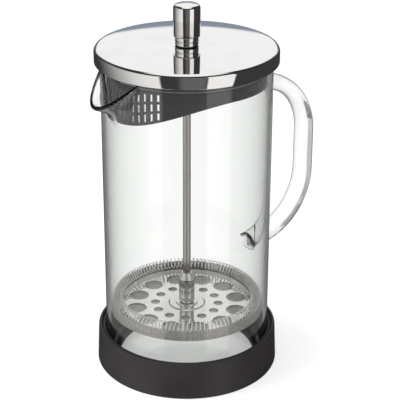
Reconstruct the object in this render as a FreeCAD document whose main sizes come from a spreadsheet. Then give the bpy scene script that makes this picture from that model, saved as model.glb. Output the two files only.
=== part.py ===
"""French press: glass beaker with a glass handle in a base ring, a strainer lid and a filter plunger.

Millimetres, +Z up. The origin is on the beaker's axis at the underside of the base; the handle points
along +X and the spout along -X. Each piece is modelled as it rests with the plunger fully down.
"""

import FreeCAD, Part
import os
import re

import Sketcher

# ---------------------------------------------------------------- driving dimensions

SIZES = {
    # Base ring and its liner
    "base_height": 23.6,
    "base_wall": 2.0,  # at the rim
    "base_flare": 0.95,  # how much wider the foot is than the rim
    "base_ledge": 3.0,  # thickness of the inward ledge
    "base_window_radius": 42.0,
    "base_rim_round": 1.2,
    "seat_wall": 2.2,
    "seat_floor": 1.5,
    "seat_drop": 1.0,  # liner's top edge below the rim
    "seat_clearance": 0.6,  # between liner and glass
    # Beaker
    "glass_radius": 50.0,
    "glass_wall": 2.3,
    "glass_floor": 3.0,
    "glass_height": 191.5,
    "glass_heel_round": 6.0,
    "glass_rim_round": 0.9,
    # Spout: a rounded V-shaped trough that rises outwards, cut off by a sloping lip
    "spout_drop": 26.0,  # trough's underside below the rim, where it leaves the wall
    "spout_rise": 0.457,
    "spout_side_slope": 1.15,
    "spout_round": 6.0,
    "spout_half_width": 21.5,
    "spout_inset": 8.0,  # how far inside the outer wall the trough starts
    "spout_length": 28.0,  # before the lip is cut
    "lip_drop": 5.2,  # below the rim, at lip_inset inside the outer wall
    "lip_inset": 2.0,
    "lip_slope": 0.9,
    # Handle
    "handle_width": 14.5,
    "handle_thickness": 10.0,
    "handle_reach": 40.2,  # centre line beyond the outer wall
    "handle_top_drop": 26.6,  # centre line below the rim
    "handle_top_bend": 38.0,
    "handle_straight": 25.4,
    "handle_foot_bend": 40.0,
    "handle_foot_slope": 14.0,  # degrees below level
    # Lid cover
    "lid_sheet": 1.0,
    "lid_clearance": 2.4,  # between skirt and glass
    "lid_depth": 8.6,
    "lid_edge_round": 2.4,
    "lid_seat_gap": 0.1,  # above the glass rim
    # Strainer insert
    "strainer_clearance": 0.5,  # to the inside of the glass
    "strainer_disc": 2.0,
    "strainer_flange": 2.9,
    "strainer_flange_margin": 0.4,  # inside the cover's skirt
    "strainer_wall": 1.8,
    "strainer_collar_depth": 5.7,  # below the rim
    "strainer_groove_height": 1.2,
    "strainer_groove_depth": 0.9,
    "strainer_step": 0.4,
    "strainer_short_depth": 14.2,
    "strainer_long_depth": 30.5,
    "slot_count": 15,
    "slot_pitch": 5.0,  # degrees
    "slot_width": 2.0,
    "slot_row_height": 4.6,
    "slot_rail": 1.4,
    "slot_margin": 1.6,
    # Rod guide
    "bush_radius": 4.0,
    "bush_flange_radius": 6.3,
    "bush_flange": 0.3,
    "bush_length": 14.0,
    "guide_washer_radius": 8.5,
    "guide_washer_sheet": 0.8,
    "guide_nut_flats": 13.0,
    "guide_nut_height": 4.0,
    "running_clearance": 0.06,
    "resting_gap": 0.05,
    "fit_gap": 0.02,
    # Rod and knob
    "rod_radius": 2.4,
    "rod_grip": 12.5,  # how deep the rod goes into the knob's core
    "knob_radius": 7.8,
    "knob_height": 18.5,
    "knob_round": 2.2,
    "knob_wall": 0.8,
    "knob_collar_radius": 6.9,
    "knob_collar_height": 5.0,
    "knob_groove": 0.5,
    "knob_buffer_radius": 6.6,
    "knob_buffer_height": 0.3,
    # Filter stack
    "filter_rest": 27.1,  # mesh above the inside of the glass floor
    "filter_clearance": 1.1,  # mesh to glass
    "mesh_sheet": 0.4,
    "mesh_height": 7.3,
    "mesh_bend": 0.8,
    "plate_sheet": 0.9,
    "plate_flat_radius": 38.5,
    "plate_lip_width": 2.4,
    "plate_lip_height": 2.3,
    "plate_boss_radius": 10.4,
    "plate_boss_rise": 0.9,
    "large_hole_radius": 6.0,
    "large_hole_circle": 31.5,
    "small_hole_radius": 2.85,
    "small_hole_circle": 19.5,
    "hole_count": 12,
    "hole_turn": 8.0,  # degrees, clockwise from above
    "spring_coil_radius": 3.4,
    "spring_rise": 3.75,  # coil's underside above the mesh
    "cross_plate_radius": 43.5,
    "cross_plate_sheet": 0.8,
    "cross_window_inner": 13.0,
    "cross_window_outer": 34.0,
    "cross_arm_width": 7.0,
    "cross_window_count": 8,
    # Hub
    "hub_flange_radius": 7.0,
    "hub_flange": 0.8,
    "hub_neck_radius": 3.7,
    "hub_neck": 0.9,
    "sleeve_radius": 4.9,
    "sleeve_length": 14.9,
    "sleeve_cone": 4.0,
    "cap_washer_radius": 8.0,
    "cap_washer_sheet": 0.8,
    "cap_nut_radius": 5.5,
    "cap_nut_height": 5.0,
    "cap_nut_round": 2.0,
    "cap_nut_cover": 1.5,  # metal below the rod's end
}

# ---------------------------------------------------------------- places worked out from the sizes

FLOOR = "(base_ledge + seat_floor)"
RIM = f"({FLOOR} + glass_height)"
BORE = "(glass_radius - glass_wall)"
SEAT_RADIUS = "(glass_radius + seat_clearance)"
BASE_BORE = f"({SEAT_RADIUS} + seat_wall)"
BASE_RIM_RADIUS = f"({BASE_BORE} + base_wall)"
BASE_FOOT_RADIUS = f"({BASE_RIM_RADIUS} + base_flare)"

SKIRT_BORE = "(glass_radius + lid_clearance)"
LID_RADIUS = f"({SKIRT_BORE} + lid_sheet)"
DISC_UNDER = f"({RIM} + lid_seat_gap + strainer_flange)"
DISC_TOP = f"({DISC_UNDER} + strainer_disc)"
LID_TOP = f"({DISC_TOP} + lid_sheet)"

COLLAR_RADIUS = f"({BORE} - strainer_clearance)"
SKIRT_RADIUS = f"({COLLAR_RADIUS} - strainer_step)"
EDGE_HIGH = f"({RIM} - strainer_short_depth)"
EDGE_LOW = f"({RIM} - strainer_long_depth)"
EDGE_FALL = "(strainer_long_depth - strainer_short_depth)"
EDGE_ARC = f"(({SKIRT_RADIUS}^2 + {EDGE_FALL}^2) / (2 * {EDGE_FALL}))"

BUSH_HOLE = "(bush_radius + running_clearance)"
BUSH_BORE = "(rod_radius + running_clearance)"
BUSH_SEAT = f"({LID_TOP} + resting_gap)"
BUSH_TOP = f"({BUSH_SEAT} + bush_flange)"
BUSH_END = f"({BUSH_SEAT} - bush_length)"

ROD_BORE = "(rod_radius + fit_gap)"
BUFFER_UNDER = f"({BUSH_TOP} + resting_gap)"
NECK_UNDER = f"({BUFFER_UNDER} + knob_buffer_height)"
KNOB_UNDER = f"({NECK_UNDER} + knob_collar_height)"
KNOB_TOP = f"({KNOB_UNDER} + knob_height)"
CORE_RADIUS = "(knob_radius - knob_wall)"
ROD_TOP = f"({KNOB_UNDER} + rod_grip)"

MESH_UNDER = f"({FLOOR} + glass_floor + filter_rest)"
MESH_RADIUS = f"({BORE} - filter_clearance)"
PLATE_UNDER = f"({MESH_UNDER} + mesh_sheet)"
PLATE_TOP = f"({PLATE_UNDER} + plate_sheet)"
BOSS_TOP = f"({PLATE_TOP} + plate_boss_rise)"
SPRING_CENTRE = f"({MESH_RADIUS} - mesh_sheet - fit_gap - spring_coil_radius)"
SPRING_LEVEL = f"({MESH_UNDER} + spring_rise + spring_coil_radius)"
CROSS_UNDER = f"({MESH_UNDER} - cross_plate_sheet)"
CAP_WASHER_UNDER = f"({CROSS_UNDER} - cap_washer_sheet)"
CAP_NUT_UNDER = f"({CAP_WASHER_UNDER} - cap_nut_height)"
ROD_BOTTOM = f"({CAP_NUT_UNDER} + cap_nut_cover)"
HUB_FLANGE_TOP = f"({BOSS_TOP} + hub_flange)"
SLEEVE_UNDER = f"({HUB_FLANGE_TOP} + hub_neck)"
SLEEVE_SHOULDER = f"({SLEEVE_UNDER} + sleeve_length)"
SLEEVE_TOP = f"({SLEEVE_SHOULDER} + sleeve_cone)"

# ---------------------------------------------------------------- document and sheet

doc = FreeCAD.newDocument("french_press")
sheet = doc.addObject("Spreadsheet::Sheet", "Sizes")
for row, (name, number) in enumerate(SIZES.items(), start=1):
    sheet.set(f"A{row}", name)
    sheet.set(f"B{row}", str(number))
    sheet.setAlias(f"B{row}", name)
doc.recompute()

pieces = []


def bound(text):
    """The expression with each size's name pointing at its cell."""
    return re.sub(r"[a-z][a-z0-9_]*", lambda word: cell(word.group()), text)


def cell(word):
    return f"Sizes.{word}" if word in SIZES else word


def value(text):
    """The number that an expression gives now."""
    return float(sheet.evalExpression(bound(text)))


# ---------------------------------------------------------------- sketches


def new_body(name):
    body = doc.addObject("PartDesign::Body", name)
    body.Label = name
    pieces.append(body)
    return body


def new_sketch(body, name, plane, lift=None):
    """A sketch on one of the body's own origin planes, moved along its normal by lift."""
    sketch = body.newObject("Sketcher::SketchObject", f"{body.Label}_{name}")
    support = next(f for f in body.Origin.OriginFeatures if f.Role == plane)
    sketch.AttachmentSupport = [(support, "")]
    sketch.MapMode = "FlatFace"
    if lift:
        sketch.setExpression("AttachmentOffset.Base.z", bound(lift))
    return sketch


def hold(sketch, kind, *places, size):
    """A dimension that follows an expression."""
    index = sketch.addConstraint(Sketcher.Constraint(kind, *places, value(size)))
    sketch.setExpression(f"Constraints[{index}]", bound(size))


def place_point(sketch, edge, end, across, up):
    """Ties an edge's end (1 start, 2 end, 3 centre) to its two coordinates."""
    for kind, axis, size in (("DistanceX", -2, across), ("DistanceY", -1, up)):
        if size == "0":
            sketch.addConstraint(Sketcher.Constraint("PointOnObject", edge, end, axis))
        else:
            hold(sketch, kind, -1, 1, edge, end, size=size)


def draw_outline(sketch, corners):
    """A closed outline of straight edges through corners given as pairs of expressions."""
    points = [FreeCAD.Vector(value(across), value(up), 0) for across, up in corners]
    first = sketch.GeometryCount
    count = len(points)
    for index, point in enumerate(points):
        sketch.addGeometry(Part.LineSegment(point, points[(index + 1) % count]))
    for index in range(count):
        following = first + (index + 1) % count
        sketch.addConstraint(Sketcher.Constraint("Coincident", first + index, 2, following, 1))
    for index, (across, up) in enumerate(corners):
        place_point(sketch, first + index, 1, across, up)


def draw_arched(sketch, corners, middle, radius):
    """Straight edges through corners, counter-clockwise, closed by an arc through middle."""
    points = [FreeCAD.Vector(value(across), value(up), 0) for across, up in corners]
    last = len(points) - 2
    for start, end in zip(points, points[1:]):
        sketch.addGeometry(Part.LineSegment(start, end))
    for index in range(last):
        sketch.addConstraint(Sketcher.Constraint("Coincident", index, 2, index + 1, 1))
    for index, corner in enumerate(corners[:-1]):
        place_point(sketch, index, 1, *corner)
    place_point(sketch, last, 2, *corners[-1])
    crown = FreeCAD.Vector(value(middle[0]), value(middle[1]), 0)
    arc = sketch.addGeometry(Part.Arc(points[-1], crown, points[0]))
    sketch.addConstraint(Sketcher.Constraint("Coincident", arc, 1, last, 2))
    sketch.addConstraint(Sketcher.Constraint("Coincident", arc, 2, 0, 1))
    hold(sketch, "Radius", arc, size=radius)


def draw_circle(sketch, across, up, radius):
    centre = FreeCAD.Vector(value(across), value(up), 0)
    edge = sketch.addGeometry(Part.Circle(centre, FreeCAD.Vector(0, 0, 1), value(radius)))
    hold(sketch, "Radius", edge, size=radius)
    if (across, up) == ("0", "0"):
        sketch.addConstraint(Sketcher.Constraint("Coincident", edge, 3, -1, 1))
    else:
        place_point(sketch, edge, 3, across, up)


# ---------------------------------------------------------------- features


def turn(body, name, corners, kind="Revolution"):
    """Turns an outline in the XZ plane about Z, added to the body or, as a Groove, cut from it."""
    sketch = new_sketch(body, f"{name}_outline", "XZ_Plane")
    draw_outline(sketch, corners)
    feature = body.newObject(f"PartDesign::{kind}", f"{body.Label}_{name}")
    feature.Profile = sketch
    feature.ReferenceAxis = (sketch, ["V_Axis"])
    feature.Angle = 360.0
    sketch.Visibility = False
    doc.recompute()
    return feature


def cut_through(body, sketch, name):
    """A pocket through everything, both ways from its sketch."""
    pocket = body.newObject("PartDesign::Pocket", f"{body.Label}_{name}")
    pocket.Profile = sketch
    pocket.Type = "ThroughAll"
    pocket.Midplane = True
    doc.recompute()
    return pocket


def repeat_round(body, feature, name, count):
    """Repeats a feature round the body's Z axis."""
    pattern = body.newObject("PartDesign::PolarPattern", f"{body.Label}_{name}")
    pattern.Originals = [feature]
    pattern.Axis = (next(f for f in body.Origin.OriginFeatures if f.Role == "Z_Axis"), [""])
    pattern.Angle = 360.0
    pattern.setExpression("Occurrences", bound(count))
    body.Tip = pattern
    doc.recompute()
    return pattern


def rounded(body, name, radius, *rings):
    """Rounds the circular edges of the body at each (radius, height)."""
    base = body.Tip
    wanted = [(value(ring), value(height)) for ring, height in rings]
    found = []
    for index, edge in enumerate(base.Shape.Edges, start=1):
        curve = edge.Curve
        if isinstance(curve, Part.Circle) and abs(curve.Axis.z) > 0.999:
            here = (curve.Radius, curve.Center.z)
            if any(max(abs(here[0] - r), abs(here[1] - z)) < 0.01 for r, z in wanted):
                found.append(f"Edge{index}")
    if len(found) < len(wanted):
        raise RuntimeError(f"{body.Label}: an edge to round is missing")
    fillet = body.newObject("PartDesign::Fillet", f"{body.Label}_{name}")
    fillet.Base = (base, found)
    fillet.setExpression("Radius", bound(radius))
    doc.recompute()
    return fillet


def ring_piece(name, bore, radius, under, top):
    """A plain ring or washer."""
    body = new_body(name)
    turn(body, "ring", [(bore, under), (radius, under), (radius, top), (bore, top)])
    return body


# ---------------------------------------------------------------- base

body = new_body("base_shell")
turn(
    body,
    "wall",
    [
        ("base_window_radius", "0"),
        (BASE_FOOT_RADIUS, "0"),
        (BASE_RIM_RADIUS, "base_height"),
        (BASE_BORE, "base_height"),
        (BASE_BORE, "base_ledge"),
        ("base_window_radius", "base_ledge"),
    ],
)
rounded(body, "rim_round", "base_rim_round", (BASE_RIM_RADIUS, "base_height"))

body = new_body("base_seat_ring")
seat_outside = f"({BASE_BORE} - fit_gap)"
seat_top = "(base_height - seat_drop)"
turn(
    body,
    "liner",
    [
        ("base_window_radius", "base_ledge"),
        (seat_outside, "base_ledge"),
        (seat_outside, seat_top),
        (SEAT_RADIUS, seat_top),
        (SEAT_RADIUS, FLOOR),
        ("base_window_radius", FLOOR),
    ],
)

# ---------------------------------------------------------------- beaker (modelled with its spout along +X)

beaker = new_body("glass_beaker")
turn(beaker, "blank", [("0", FLOOR), ("glass_radius", FLOOR), ("glass_radius", RIM), ("0", RIM)])
rounded(beaker, "heel", "glass_heel_round", ("glass_radius", FLOOR))
rounded(beaker, "rim_outside", "glass_rim_round", ("glass_radius", RIM))


def trough_section(name, reach, inset):
    """The trough's outline across the beaker at a distance from its axis, made smaller by inset."""
    section = new_sketch(beaker, name, "YZ_Plane", reach)
    radius = f"(spout_round - {inset})"
    level = f"({RIM} - spout_drop + ({reach} - glass_radius) * spout_rise + spout_round)"
    side = "sqrt(1 + spout_side_slope^2)"
    turn_off = f"({radius} * spout_side_slope / {side})"
    turn_up = f"({level} - {radius} / {side})"
    width = f"(spout_half_width - {inset})"
    shoulder = f"({turn_up} + ({width} - {turn_off}) * spout_side_slope)"
    top = f"({RIM} + spout_drop)"
    corners = [
        (turn_off, turn_up),
        (width, shoulder),
        (width, top),
        (f"-{width}", top),
        (f"-{width}", shoulder),
        (f"-{turn_off}", turn_up),
    ]
    draw_arched(section, corners, ("0", f"{level} - {radius}"), radius)
    return section


def spout_trough(name, kind, inset):
    start = "(glass_radius - spout_inset)"
    end = "(glass_radius - spout_inset + spout_length)"
    trough = beaker.newObject(f"PartDesign::{kind}", f"{beaker.Label}_{name}")
    trough.Profile = trough_section(f"{name}_start", start, inset)
    trough.Sections = [trough_section(f"{name}_end", end, inset)]
    trough.Ruled = True
    doc.recompute()


inside_floor = f"({FLOOR} + glass_floor)"
turn(
    beaker,
    "inside",
    [("0", inside_floor), (BORE, inside_floor), (BORE, f"{RIM} + 1"), ("0", f"{RIM} + 1")],
    kind="Groove",
)
rounded(beaker, "rim_inside", "glass_rim_round", (BORE, RIM))
rounded(beaker, "inside_heel", "glass_heel_round - glass_floor", (BORE, inside_floor))
spout_trough("spout", "AdditiveLoft", "0")
clear_from = f"({RIM} - 2 * spout_drop)"
clear_to = f"({RIM} + 2 * spout_drop)"
turn(
    beaker,
    "inside_again",
    [("0", clear_from), (BORE, clear_from), (BORE, clear_to), ("0", clear_to)],
    kind="Groove",
)
spout_trough("spout_inside", "SubtractiveLoft", "glass_wall")

lip = new_sketch(beaker, "lip_outline", "XZ_Plane")
lip_start = "(glass_radius - lip_inset - lip_drop / lip_slope)"
lip_end = "(glass_radius + spout_length)"
lip_fall = f"({lip_end} - {lip_start}) * lip_slope"
draw_outline(
    lip,
    [
        (lip_start, RIM),
        (lip_end, f"{RIM} - {lip_fall}"),
        (lip_end, f"{RIM} + 2 * spout_drop"),
        ("0", f"{RIM} + 2 * spout_drop"),
        ("0", RIM),
    ],
)
cut_through(beaker, lip, "lip")
beaker.Placement.Rotation = FreeCAD.Rotation(FreeCAD.Vector(0, 0, 1), 180)

# ---------------------------------------------------------------- handle

handle = new_body("glass_handle")
centre_reach = "(glass_radius + handle_reach)"
top_level = f"({RIM} - handle_top_drop)"
root = "(glass_radius - handle_thickness / 2)"
bend_start = f"({centre_reach} - handle_top_bend)"
straight_top = f"({top_level} - handle_top_bend)"
straight_end = f"({straight_top} - handle_straight)"
foot_centre = f"({centre_reach} - handle_foot_bend)"

foot_bend_x = f"({foot_centre} + handle_foot_bend * sin(handle_foot_slope))"
foot_bend_z = f"({straight_end} - handle_foot_bend * cos(handle_foot_slope))"
foot_level = f"({foot_bend_z} - ({foot_bend_x} - {root}) * tan(handle_foot_slope))"

path = new_sketch(handle, "path", "XZ_Plane")
runs = [
    ((root, top_level), (bend_start, top_level)),
    ((centre_reach, straight_top), (centre_reach, straight_end)),
    ((foot_bend_x, foot_bend_z), (root, foot_level)),
]
for start, end in runs:
    ends = [FreeCAD.Vector(value(across), value(up), 0) for across, up in (start, end)]
    edge = path.addGeometry(Part.LineSegment(*ends))
    place_point(path, edge, 1, *start)
    place_point(path, edge, 2, *end)
bends = [("handle_top_bend", bend_start, straight_top, 0), ("handle_foot_bend", foot_centre, straight_end, 1)]
for radius, across, up, before in bends:
    first, second = path.Geometry[before], path.Geometry[before + 1]
    centre = FreeCAD.Vector(value(across), value(up), 0)
    middle = centre + ((first.EndPoint + second.StartPoint) / 2 - centre).normalize() * value(radius)
    arc = path.addGeometry(Part.Arc(second.StartPoint, middle, first.EndPoint))
    path.addConstraint(Sketcher.Constraint("Coincident", arc, 1, before + 1, 1))
    path.addConstraint(Sketcher.Constraint("Coincident", arc, 2, before, 2))
    hold(path, "Radius", arc, size=radius)

oval = new_sketch(handle, "oval", "YZ_Plane", root)
centre = FreeCAD.Vector(0, value(top_level), 0)
along = centre + FreeCAD.Vector(value("handle_width / 2"), 0, 0)
thick = centre + FreeCAD.Vector(0, value("handle_thickness / 2"), 0)
ring = oval.addGeometry(Part.Ellipse(along, thick, centre))
oval.exposeInternalGeometry(ring)
place_point(oval, ring, 3, "0", top_level)
oval.addConstraint(Sketcher.Constraint("Horizontal", ring + 1))
hold(oval, "Distance", ring + 1, size="handle_width")
hold(oval, "Distance", ring + 2, size="handle_thickness")

pipe = handle.newObject("PartDesign::AdditivePipe", "glass_handle_pipe")
pipe.Profile = oval
pipe.Spine = path
doc.recompute()
seat = new_sketch(handle, "wall_seat", "XY_Plane")
draw_circle(seat, "0", "0", "glass_radius")
cut_through(handle, seat, "wall_cut")

# ---------------------------------------------------------------- lid

body = new_body("lid_cover")
skirt_end = f"({LID_TOP} - lid_depth)"
turn(
    body,
    "cover",
    [
        (BUSH_HOLE, DISC_TOP),
        (SKIRT_BORE, DISC_TOP),
        (SKIRT_BORE, skirt_end),
        (LID_RADIUS, skirt_end),
        (LID_RADIUS, LID_TOP),
        (BUSH_HOLE, LID_TOP),
    ],
)
rounded(body, "edge_round", "lid_edge_round", (LID_RADIUS, LID_TOP))
rounded(body, "inner_round", "lid_edge_round - lid_sheet", (SKIRT_BORE, DISC_TOP))

insert = doc.addObject("PartDesign::Body", "strainer_blank")
flange_radius = f"({SKIRT_BORE} - strainer_flange_margin)"
skirt_inside = f"({SKIRT_RADIUS} - strainer_wall)"
collar_end = f"({RIM} - strainer_collar_depth)"
groove_end = f"({collar_end} - strainer_groove_height)"
groove_radius = f"({COLLAR_RADIUS} - strainer_groove_depth)"
disc_edge = f"({flange_radius} - lid_edge_round + lid_sheet)"
turn(
    insert,
    "blank",
    [
        (BUSH_HOLE, DISC_UNDER),
        (skirt_inside, DISC_UNDER),
        (skirt_inside, EDGE_LOW),
        (SKIRT_RADIUS, EDGE_LOW),
        (SKIRT_RADIUS, groove_end),
        (groove_radius, groove_end),
        (groove_radius, collar_end),
        (COLLAR_RADIUS, collar_end),
        (COLLAR_RADIUS, f"({RIM} + lid_seat_gap)"),
        (flange_radius, f"({RIM} + lid_seat_gap)"),
        (flange_radius, DISC_UNDER),
        (disc_edge, DISC_TOP),
        (BUSH_HOLE, DISC_TOP),
    ],
)

# The lower edge is level on the handle side, then falls along an arc to its lowest point at the spout.
below = new_sketch(insert, "edge_outline", "XZ_Plane")
clear_of_skirt = f"({SKIRT_RADIUS} + 5)"
edge_centre = f"({EDGE_HIGH} - {EDGE_ARC})"
edge_end = f"({edge_centre} + sqrt({EDGE_ARC}^2 - {clear_of_skirt}^2))"
bottom = f"({EDGE_LOW} - strainer_long_depth)"
corners = [
    ("0", EDGE_HIGH),
    (f"-{clear_of_skirt}", EDGE_HIGH),
    (f"-{clear_of_skirt}", bottom),
    (clear_of_skirt, bottom),
    (clear_of_skirt, edge_end),
]
arch_middle = (f"{clear_of_skirt} / 2", f"{edge_centre} + sqrt({EDGE_ARC}^2 - {clear_of_skirt}^2 / 4)")
draw_arched(below, corners, arch_middle, EDGE_ARC)
cut_through(insert, below, "edge")


def bound_object(kind, name, **sizes):
    """A Part primitive whose properties follow expressions."""
    item = doc.addObject(kind, name)
    for prop, text in sizes.items():
        item.setExpression(prop, bound(text))
    return item


def boolean(kind, name, base, tool):
    item = doc.addObject(kind, name)
    item.Base = base
    item.Tool = tool
    return item


# Slots: radial blades, kept only inside three curved rows that follow the lower edge.
blades = []
slot_top = f"({groove_end} - slot_rail)"
for index in range(SIZES["slot_count"]):
    blade = bound_object(
        "Part::Box",
        f"slot_blade_{index + 1}",
        Length=f"{SKIRT_RADIUS} + 5",
        Width="slot_width",
        Height=f"{slot_top} - {EDGE_LOW}",
    )
    turn_by = f"(({index} - (slot_count - 1) / 2) * slot_pitch)"
    blade.setExpression("Placement.Base.x", bound(f"slot_width / 2 * sin({turn_by})"))
    blade.setExpression("Placement.Base.y", bound(f"-slot_width / 2 * cos({turn_by})"))
    blade.setExpression("Placement.Base.z", bound(EDGE_LOW))
    blade.setExpression("Placement.Rotation.Angle", bound(turn_by))
    blades.append(blade)
blade_group = doc.addObject("Part::Compound", "slot_blades")
blade_group.Links = blades

rows = []
for index in range(3):
    inner = f"({EDGE_ARC} + slot_margin + {index} * (slot_row_height + slot_rail))"
    rings = []
    for side, radius in (("inner", inner), ("outer", f"({inner} + slot_row_height)")):
        ring = bound_object(
            "Part::Cylinder", f"slot_row_{index + 1}_{side}", Radius=radius, Height="4 * glass_radius"
        )
        ring.Placement.Rotation = FreeCAD.Rotation(FreeCAD.Vector(1, 0, 0), -90)
        ring.setExpression("Placement.Base.y", bound("-2 * glass_radius"))
        ring.setExpression("Placement.Base.z", bound(edge_centre))
        rings.append(ring)
    rows.append(boolean("Part::Cut", f"slot_row_{index + 1}", rings[1], rings[0]))
row_group = doc.addObject("Part::Compound", "slot_rows")
row_group.Links = rows
windows = boolean("Part::Common", "slot_windows", blade_group, row_group)
strainer = boolean("Part::Cut", "lid_strainer", insert, windows)
strainer.Label = "lid_strainer"
strainer.Placement.Rotation = FreeCAD.Rotation(FreeCAD.Vector(0, 0, 1), 180)
pieces.append(strainer)
doc.recompute()

# ---------------------------------------------------------------- rod guide

body = new_body("rod_guide_bush")
turn(
    body,
    "bush",
    [
        (BUSH_BORE, BUSH_END),
        ("bush_radius", BUSH_END),
        ("bush_radius", BUSH_SEAT),
        ("bush_flange_radius", BUSH_SEAT),
        ("bush_flange_radius", BUSH_TOP),
        (BUSH_BORE, BUSH_TOP),
    ],
)
washer_under = f"({DISC_UNDER} - guide_washer_sheet)"
nut_under = f"({washer_under} - guide_nut_height)"
ring_piece("guide_washer", BUSH_HOLE, "guide_washer_radius", washer_under, DISC_UNDER)

body = new_body("guide_nut")
hexagon = new_sketch(body, "hexagon", "XY_Plane", nut_under)
hexagon_corners = []
for index in range(6):
    corner = f"guide_nut_flats / sqrt(3) * {{}}({30 + 60 * index})"
    hexagon_corners.append((f"({corner.format('cos')})", f"({corner.format('sin')})"))
draw_outline(hexagon, hexagon_corners)
draw_circle(hexagon, "0", "0", BUSH_HOLE)
pad = body.newObject("PartDesign::Pad", "guide_nut_pad")
pad.Profile = hexagon
pad.setExpression("Length", bound("guide_nut_height"))

# ---------------------------------------------------------------- rod and knob

body = new_body("plunger_rod")
turn(body, "bar", [("0", ROD_BOTTOM), ("rod_radius", ROD_BOTTOM), ("rod_radius", ROD_TOP), ("0", ROD_TOP)])

ring_piece("knob_buffer", ROD_BORE, "knob_buffer_radius", BUFFER_UNDER, NECK_UNDER)

body = new_body("knob_collar")
groove_middle = f"({NECK_UNDER} + knob_collar_height / 2)"
groove_floor = "(knob_collar_radius - knob_groove)"
turn(
    body,
    "collar",
    [
        (ROD_BORE, NECK_UNDER),
        ("knob_collar_radius", NECK_UNDER),
        ("knob_collar_radius", f"({groove_middle} - knob_groove)"),
        (groove_floor, f"({groove_middle} - knob_groove)"),
        (groove_floor, f"({groove_middle} + knob_groove)"),
        ("knob_collar_radius", f"({groove_middle} + knob_groove)"),
        ("knob_collar_radius", KNOB_UNDER),
        (ROD_BORE, KNOB_UNDER),
    ],
)

body = new_body("knob_shell")
turn(
    body,
    "shell",
    [
        (CORE_RADIUS, KNOB_UNDER),
        ("knob_radius", KNOB_UNDER),
        ("knob_radius", KNOB_TOP),
        ("0", KNOB_TOP),
        ("0", f"({KNOB_TOP} - knob_wall)"),
        (CORE_RADIUS, f"({KNOB_TOP} - knob_wall)"),
    ],
)
rounded(body, "shoulder", "knob_round", ("knob_radius", KNOB_TOP))
rounded(body, "inside_shoulder", "knob_round - knob_wall", (CORE_RADIUS, f"({KNOB_TOP} - knob_wall)"))

body = new_body("knob_core")
core_radius = f"({CORE_RADIUS} - fit_gap)"
core_top = f"({KNOB_TOP} - knob_wall - knob_round)"
turn(
    body,
    "core",
    [
        (ROD_BORE, KNOB_UNDER),
        (core_radius, KNOB_UNDER),
        (core_radius, core_top),
        ("0", core_top),
        ("0", f"({ROD_TOP} + fit_gap)"),
        (ROD_BORE, f"({ROD_TOP} + fit_gap)"),
    ],
)

# ---------------------------------------------------------------- filter

body = new_body("spreader_plate")
lip_radius = "(plate_flat_radius + plate_lip_width)"
lip_top = f"({PLATE_TOP} + plate_lip_height)"
lip_bottom = f"({PLATE_UNDER} + plate_lip_height)"
boss_foot = "(plate_boss_radius + plate_boss_rise)"
turn(
    body,
    "plate",
    [
        (ROD_BORE, f"({PLATE_UNDER} + plate_boss_rise)"),
        ("plate_boss_radius", f"({PLATE_UNDER} + plate_boss_rise)"),
        (boss_foot, PLATE_UNDER),
        ("plate_flat_radius", PLATE_UNDER),
        (lip_radius, lip_bottom),
        (lip_radius, lip_top),
        ("plate_flat_radius", PLATE_TOP),
        (boss_foot, PLATE_TOP),
        ("plate_boss_radius", BOSS_TOP),
        (ROD_BORE, BOSS_TOP),
    ],
)
half_pitch = "(180 / hole_count)"
for name, across, up, radius in (
    (
        "large",
        f"(large_hole_circle * cos({half_pitch} - hole_turn))",
        f"(large_hole_circle * sin({half_pitch} - hole_turn))",
        "large_hole_radius",
    ),
    (
        "small",
        "(small_hole_circle * cos(hole_turn))",
        "(-small_hole_circle * sin(hole_turn))",
        "small_hole_radius",
    ),
):
    holes = new_sketch(body, f"{name}_hole", "XY_Plane")
    draw_circle(holes, across, up, radius)
    repeat_round(body, cut_through(body, holes, f"{name}_hole_cut"), f"{name}_holes", "hole_count")

body = new_body("edge_spring")
coil = new_sketch(body, "section", "XZ_Plane")
draw_circle(coil, SPRING_CENTRE, SPRING_LEVEL, "spring_coil_radius")
feature = body.newObject("PartDesign::Revolution", "edge_spring_ring")
feature.Profile = coil
feature.ReferenceAxis = (coil, ["V_Axis"])
feature.Angle = 360.0

body = new_body("filter_mesh")
mesh_top = f"({MESH_UNDER} + mesh_height)"
mesh_inside = f"({MESH_RADIUS} - mesh_sheet)"
turn(
    body,
    "gauze",
    [
        (ROD_BORE, MESH_UNDER),
        (MESH_RADIUS, MESH_UNDER),
        (MESH_RADIUS, mesh_top),
        (mesh_inside, mesh_top),
        (mesh_inside, PLATE_UNDER),
        (ROD_BORE, PLATE_UNDER),
    ],
)
rounded(body, "bend", "mesh_bend", (MESH_RADIUS, MESH_UNDER))
rounded(body, "inner_bend", "mesh_bend - mesh_sheet", (mesh_inside, PLATE_UNDER))

body = ring_piece("cross_plate", ROD_BORE, "cross_plate_radius", CROSS_UNDER, MESH_UNDER)
window = new_sketch(body, "window", "XY_Plane")


def window_half(radius):
    return f"({radius} * tan(180 / cross_window_count) - cross_arm_width / 2)"


inner, outer = "cross_window_inner", "cross_window_outer"
draw_outline(
    window,
    [
        (inner, f"-{window_half(inner)}"),
        (outer, f"-{window_half(outer)}"),
        (outer, window_half(outer)),
        (inner, window_half(inner)),
    ],
)
repeat_round(body, cut_through(body, window, "window_cut"), "windows", "cross_window_count")

# ---------------------------------------------------------------- hub

body = new_body("hub_boss")
turn(
    body,
    "boss",
    [
        (ROD_BORE, BOSS_TOP),
        ("hub_flange_radius", BOSS_TOP),
        ("hub_flange_radius", HUB_FLANGE_TOP),
        ("hub_neck_radius", HUB_FLANGE_TOP),
        ("hub_neck_radius", SLEEVE_UNDER),
        (ROD_BORE, SLEEVE_UNDER),
    ],
)

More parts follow.
